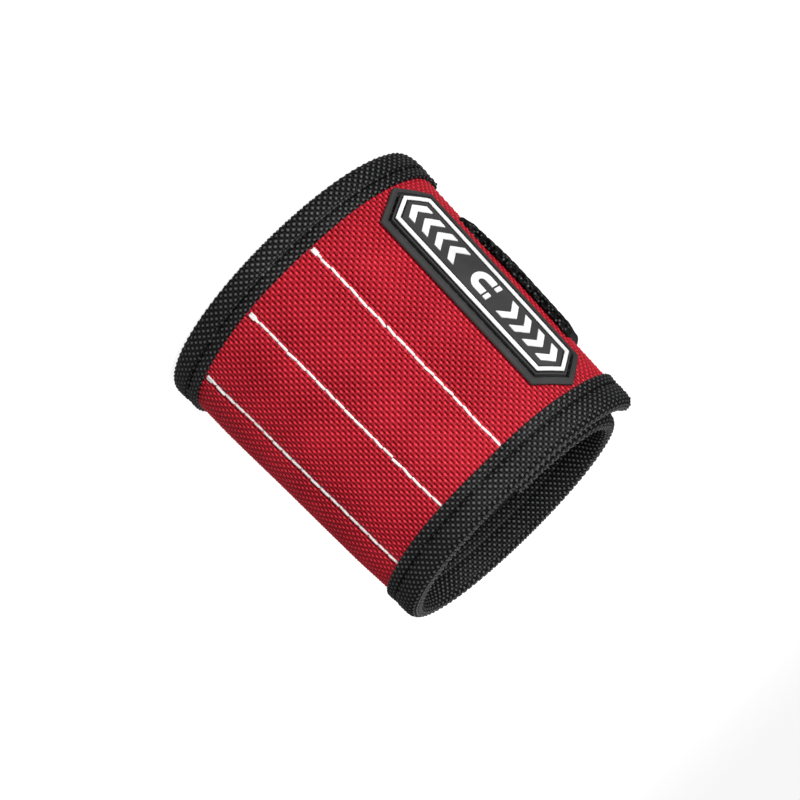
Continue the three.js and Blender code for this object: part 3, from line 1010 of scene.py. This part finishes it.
class WRISTBAND_OT_strap(bpy.types.Operator):
    """Weave the closure strap and its pull tab, with the hook field beneath"""

    bl_idname = "wristband.strap"
    bl_label = "Closure strap"

    def execute(self, context):
        low = (BAND_WIDTH - STRAP_WIDTH) / 2 + 0.7 * MM
        high = low + STRAP_WIDTH - 0.7 * MM
        grid = context.scene.wristband_sizes.webbing_pitch / STRAP_SAMPLES

        def webbing(name, start, end):
            lengths = stretch(start, end, low, high)

            def form(a, b):
                return strap_place(*lengths(a, b))

            counts = steps(end - start, grid), steps(high - low, grid)
            look = name, "Strap webbing", "strap_webbing"
            piece = cloth(*look, *counts, form, lengths, strap_tufts, STRAP_RELIEF)
            return thicken(piece, STRAP + 0.1 * MM, 0.35 * MM)

        root = webbing("strap_root_half", STRAP_SPLIT, STRAP_ROOT + STRAP_TURN_LENGTH - STRAP_TURN)
        bend_between(root, (0.4 * MM, STRAP_FOLD - 4 * MM))
        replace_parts(root, "strap_root", "strap_web")
        tip = webbing("strap_tip_half", STRAP_TIP, STRAP_SPLIT)
        bend_between(tip, (TAB_START + 1.5 * MM, TAB_START - 4 * MM), STRAP_LANDS)
        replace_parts(tip, "strap_pull_tab")
        self.hooks(low + 2 * MM, high - 2 * MM, context.scene.wristband_sizes.hook_pitch)
        rows = STRAP_TIP + 2.5 * MM, STRAP_TIP + 6.5 * MM
        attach(self.cross_seam("tab_seam", rows, low, high), "pull_tab")
        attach(self.cross_seam("root_seam", (1.4 * MM, 3.4 * MM), low, high), "flap")
        return {"FINISHED"}

    def hooks(self, low, high, pitch):
        """Backing tape with rows of small hooks that face the loop fields."""
        start, end = TAB_START + 2 * MM, 2 * MM - STRAP_ARCH_LENGTH
        depth = STRAP + 0.75 * MM
        lengths = stretch(end, start, low, high)

        def form(a, b):
            station, height = lengths(a, b)
            return strip_place(station, strap_offset(station) - depth, height)

        backing = cloth("hook_backing", "Hook plastic", "hook_tape", 40, 24, form, lengths)
        thicken(backing, 0.5 * MM, 0.1 * MM)
        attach(backing, "strap")
        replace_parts(backing, "strap_hook_field")
        bm = bmesh.new()
        columns = int((end - start - pitch) / pitch)
        rows = int((high - low - pitch) / pitch)
        for i in range(columns):
            for j in range(rows):
                made = bmesh.ops.create_cone(
                    bm, cap_ends=True, segments=5, radius1=0.2 * MM, radius2=0.32 * MM, depth=1
                )["verts"]
                station = start + pitch * (i + 1)
                height = low + pitch * (j + 0.9 + 0.2 * (i % 2))
                flat = np.array([v.co for v in made])
                offset = strap_offset(station) - depth - (flat[:, 2] + 0.5) * 0.5 * MM
                lean = (flat[:, 2] + 0.5) * 0.2 * MM * (1 if j % 2 else -1)
                put(made, strip_place(station + flat[:, 0] + lean, offset, height + flat[:, 1]))
        bmesh.ops.recalc_face_normals(bm, faces=bm.faces)
        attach(piece_from("hooks", bm, "Hook plastic", smooth=False), "strap")

    def cross_seam(self, name, stations, low, high):
        """Rows of stitches across the strap."""
        bm = bmesh.new()
        pitch = 3 * MM

        def sunk(station, height):
            return strap_face(station, height) - 0.15 * MM

        for station in stations:
            for i in range(int((high - low - 3 * MM) / pitch)):
                height = low + 1.8 * MM + i * pitch
                ends = (station, height), (station, height + pitch - 0.2 * MM)
                add_stitch(bm, *ends, sunk, 0.45 * MM, 0.3 * MM)
        return sewn(name, bm, "Black thread")


class WRISTBAND_OT_loops(bpy.types.Operator):
    """Lay the loop fields on the tail, where the hooks hold"""

    bl_idname = "wristband.loops"
    bl_label = "Loop fields"

    def execute(self, context):
        start, end = FOLDS[5] + 3 * MM, END_TAPE_START - 1.5 * MM
        low = (BAND_WIDTH - LOOP_WIDTH) / 2
        high = low + LOOP_WIDTH
        lengths = stretch(start, end, low, high)

        def form(a, b):
            station, height = lengths(a, b)
            tuft = np.sin(station * 2900) * np.sin(height * 2300 + 1.7 * np.sin(station * 900))
            edge = np.minimum(np.minimum(a, 1 - a) * (end - start), np.minimum(b, 1 - b) * (high - low))
            offset = LOOP_OUTER - 0.15 * MM + 0.1 * MM * tuft
            return strip_place(station, offset - 0.7 * MM * (1 - ease(edge / (1.2 * MM))), height)

        columns = steps(end - start, 0.6 * MM)
        piece = cloth("loop_pile", "Loop pile", "loop_pile", columns, 80, form, lengths)
        thicken(piece, 1.2 * MM)
        bend_at(piece, 6)
        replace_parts(piece, "loop_panel_loop_field", "end_panel_loop_field")
        return {"FINISHED"}


class WRISTBAND_OT_magnets(bpy.types.Operator):
    """Plate the magnets in the pockets"""

    bl_idname = "wristband.magnets"
    bl_label = "Magnets"

    def execute(self, context):
        plating = material_of("Nickel plating")
        for name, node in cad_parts.items():
            if "_magnet_" in name:
                for place in node.material_slots:
                    place.material = plating
        return {"FINISHED"}


# The photograph's view: angles in degrees, distances in metres, the target's place in an 800 pixel frame
VIEW_AZIMUTH = math.radians(-5.505)
VIEW_ELEVATION = math.radians(16.173)
VIEW_ROLL = math.radians(135.924)
VIEW_DISTANCE = 0.73323
VIEW_FOCAL = 2861.4
VIEW_TARGET_PIXEL = (401.79, 393.60)
FRAME_PIXELS = 800


def view_axes():
    """The camera's right, up and back directions."""
    azimuth, elevation = VIEW_AZIMUTH, VIEW_ELEVATION
    level_back = Vector((math.sin(azimuth), -math.cos(azimuth), 0))
    back = level_back * math.cos(elevation) + Vector((0, 0, math.sin(elevation)))
    level = Vector((math.cos(azimuth), math.sin(azimuth), 0))
    upright = back.cross(level)
    right = level * math.cos(VIEW_ROLL) + upright * math.sin(VIEW_ROLL)
    up = upright * math.cos(VIEW_ROLL) - level * math.sin(VIEW_ROLL)
    return right, up, back


class WRISTBAND_OT_stage(bpy.types.Operator):
    """Set the floor, the soft lights and the camera"""

    bl_idname = "wristband.stage"
    bl_label = "Stage"

    def execute(self, context):
        scene = context.scene
        scene.view_settings.view_transform = "Standard"
        target = Vector((*CENTRING, BAND_WIDTH / 2))
        right, up, back = view_axes()
        data = bpy.data.cameras.new("Camera")
        data.sensor_width = 36
        data.lens = VIEW_FOCAL / FRAME_PIXELS * data.sensor_width
        data.shift_x = (FRAME_PIXELS / 2 - VIEW_TARGET_PIXEL[0]) / FRAME_PIXELS
        data.shift_y = (VIEW_TARGET_PIXEL[1] - FRAME_PIXELS / 2) / FRAME_PIXELS
        data.clip_start = 0.01
        camera = bpy.data.objects.new("Camera", data)
        turn = Matrix((right, up, back)).transposed().to_4x4()
        camera.matrix_world = Matrix.Translation(target + back * VIEW_DISTANCE) @ turn
        scene.collection.objects.link(camera)
        scene.camera = camera
        self.floor(scene)
        self.world(scene)
        lamps = [
            ("Key", right * 0.38 + up * 0.27 + back * 0.88, 0.35, 9.4),
            ("Fill", right * -0.28 + up * -0.28 + back * 0.92, 0.45, 2.7),
            ("Back", Vector((0.25, 0.85, 0.75)), 0.6, 4.0),
        ]
        for name, direction, size, power in lamps:
            light = bpy.data.lights.new(name, "AREA")
            light.size = size
            light.energy = power
            lamp = bpy.data.objects.new(name, light)
            lamp.location = target + direction
            lamp.rotation_euler = (-direction).to_track_quat("-Z", "Y").to_euler()
            scene.collection.objects.link(lamp)
        return {"FINISHED"}

    def seen_share(self, tree):
        """1 for rays that show the background, 0 for rays that light the object."""
        return tree.nodes.new("ShaderNodeLightPath").outputs["Is Camera Ray"]

    def floor(self, scene):
        """A floor that keeps the shadow and looks white to the camera."""
        bm = bmesh.new()
        bmesh.ops.create_grid(bm, x_segments=1, y_segments=1, size=6)
        mesh = bpy.data.meshes.new("Floor")
        bm.to_mesh(mesh)
        bm.free()
        floor = bpy.data.objects.new("Floor", mesh)
        floor.location.z = -0.0005
        scene.collection.objects.link(floor)
        material, tree, shader = finish("Pale floor", 1.0, gloss=0.0)
        shader.inputs["Base Color"].default_value = (0.5, 0.5, 0.5, 1)
        shader.inputs["Emission Color"].default_value = (1, 1, 1, 1)
        glow = sum_node(tree, "MULTIPLY", self.seen_share(tree), 0.86)
        link(tree, glow, shader.inputs["Emission Strength"])
        mesh.materials.append(material)

    def world(self, scene):
        """A white surround that lights the object only a little."""
        world = bpy.data.worlds.new("Studio")
        world.use_nodes = True
        tree = world.node_tree
        back = tree.nodes["Background"]
        back.inputs["Color"].default_value = (1, 1, 1, 1)
        strength = sum_node(tree, "MULTIPLY_ADD", self.seen_share(tree), 0.88, 0.12)
        link(tree, strength, back.inputs["Strength"])
        scene.world = world


OPERATORS = (
    WRISTBAND_OT_lining,
    WRISTBAND_OT_face,
    WRISTBAND_OT_bindings,
    WRISTBAND_OT_seams,
    WRISTBAND_OT_patch,
    WRISTBAND_OT_strap,
    WRISTBAND_OT_loops,
    WRISTBAND_OT_magnets,
    WRISTBAND_OT_stage,
)


class WRISTBAND_PT_build(bpy.types.Panel):
    """Lists the pieces of the wristband and their settings"""

    bl_idname = "WRISTBAND_PT_build"
    bl_label = "Wristband"
    bl_space_type = "VIEW_3D"
    bl_region_type = "UI"
    bl_category = "Wristband"

    def draw(self, context):
        for operator in OPERATORS:
            self.layout.operator(operator.bl_idname)
        for group in (context.scene.wristband_sizes, context.scene.wristband_colours):
            for name in group.__annotations__:
                self.layout.prop(group, name)


CLASSES = (WristbandSizes, WristbandColours, *OPERATORS, WRISTBAND_PT_build)


def register():
    for cls in CLASSES:
        bpy.utils.register_class(cls)
    bpy.types.Scene.wristband_sizes = bpy.props.PointerProperty(type=WristbandSizes)
    bpy.types.Scene.wristband_colours = bpy.props.PointerProperty(type=WristbandColours)


def unregister():
    del bpy.types.Scene.wristband_colours
    del bpy.types.Scene.wristband_sizes
    for cls in reversed(CLASSES):
        bpy.utils.unregister_class(cls)


def main():
    register()
    for operator in OPERATORS:
        group, name = operator.bl_idname.split(".")
        getattr(getattr(bpy.ops, group), name)()


if __name__ == "__main__":
    main()
